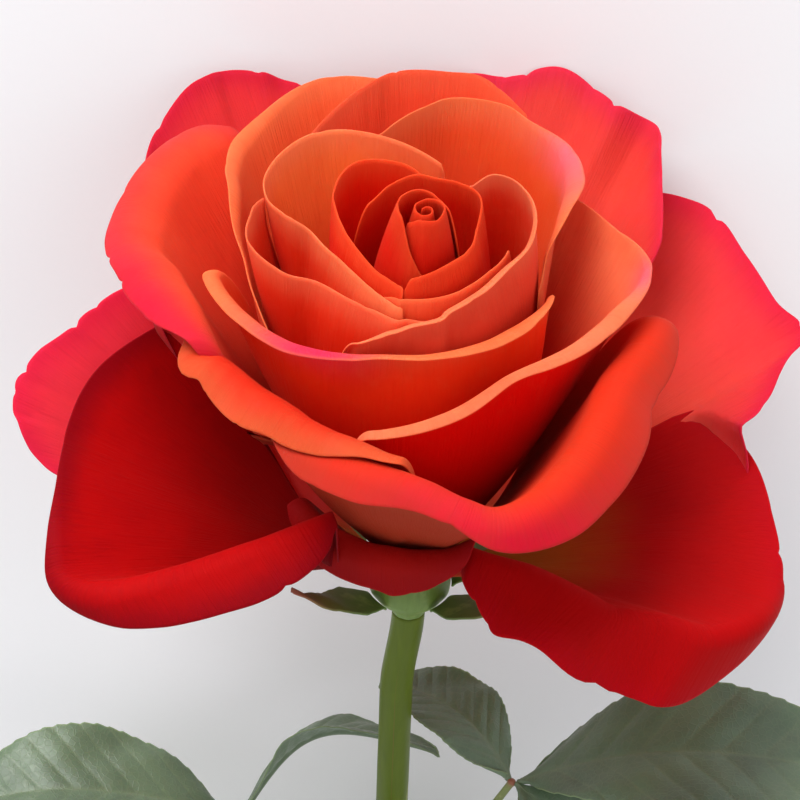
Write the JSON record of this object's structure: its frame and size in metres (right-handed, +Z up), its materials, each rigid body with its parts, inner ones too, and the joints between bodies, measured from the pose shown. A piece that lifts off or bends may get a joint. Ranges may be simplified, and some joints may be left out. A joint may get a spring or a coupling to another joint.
{
  "type": "cut rose",
  "caption": "Cut rose lying on its side: an open bloom of separate curled petals on a hip with sepals, a prickly stem and two compound leaves",
  "frame": {"origin": "centre of the footprint, on the surface that the rose lies on", "axes": "+Z up from that surface; +Y along the stem from the cut end to the bloom; +X the bloom's right seen from above with the bloom at the top"},
  "size_m": [0.1642, 0.3248, 0.1086],
  "materials": {
    "petal_orange": "velvety orange-red petal with a paler salmon margin",
    "petal_coral": "velvety coral-red petal with a salmon and pink rolled margin",
    "petal_crimson": "velvety crimson petal, deeper at the edge, fine veins",
    "hip_green": "smooth waxy green hip",
    "sepal_green": "matt green sepal",
    "stem_green": "smooth olive green stem with a waxy sheen",
    "prickle_brown": "smooth brown-green prickle",
    "rachis_green": "matt green leaf stalk, reddish at the joints",
    "leaf_green": "grey-green leaf with a soft sheen and pressed-in veins"
  },
  "bodies": {
    "root": {"petal_bud_core": "petal_orange", "petal_bud_wrap": "petal_orange", "petal_ring": "petal_orange", "petal_heart": "petal_orange", "petal_front_small": "petal_orange", "petal_right_lobe": "petal_orange", "petal_left_cup": "petal_orange", "petal_left_pocket": "petal_orange", "petal_back_inner": "petal_orange", "petal_back_middle": "petal_orange", "petal_left_tall": "petal_orange", "petal_front_smile": "petal_orange", "petal_right_wrap": "petal_coral", "petal_left_large": "petal_coral", "petal_left_strip": "petal_coral", "petal_front_vee": "petal_coral", "petal_front_tip": "petal_crimson", "petal_lower_left": "petal_crimson", "petal_lower_right": "petal_crimson", "petal_back_left": "petal_crimson", "petal_back_right": "petal_crimson", "petal_far_right": "petal_crimson", "petal_far_left": "petal_crimson", "hip": "hip_green", "sepal_1": "sepal_green", "sepal_2": "sepal_green", "sepal_3": "sepal_green", "sepal_4": "sepal_green", "sepal_5": "sepal_green", "stem": "stem_green", "prickle_1": "prickle_brown", "prickle_2": "prickle_brown", "prickle_3": "prickle_brown", "prickle_4": "prickle_brown", "prickle_5": "prickle_brown", "right_leaf_rachis": "rachis_green", "right_leaf_leaflet_1": "leaf_green", "right_leaf_leaflet_2": "leaf_green", "right_leaf_leaflet_3": "leaf_green", "right_leaf_leaflet_4": "leaf_green", "right_leaf_leaflet_5": "leaf_green", "left_leaf_rachis": "rachis_green", "left_leaf_leaflet_1": "leaf_green", "left_leaf_leaflet_2": "leaf_green", "left_leaf_leaflet_3": "leaf_green", "left_leaf_leaflet_4": "leaf_green", "left_leaf_leaflet_5": "leaf_green"}
  },
  "joints": []
}
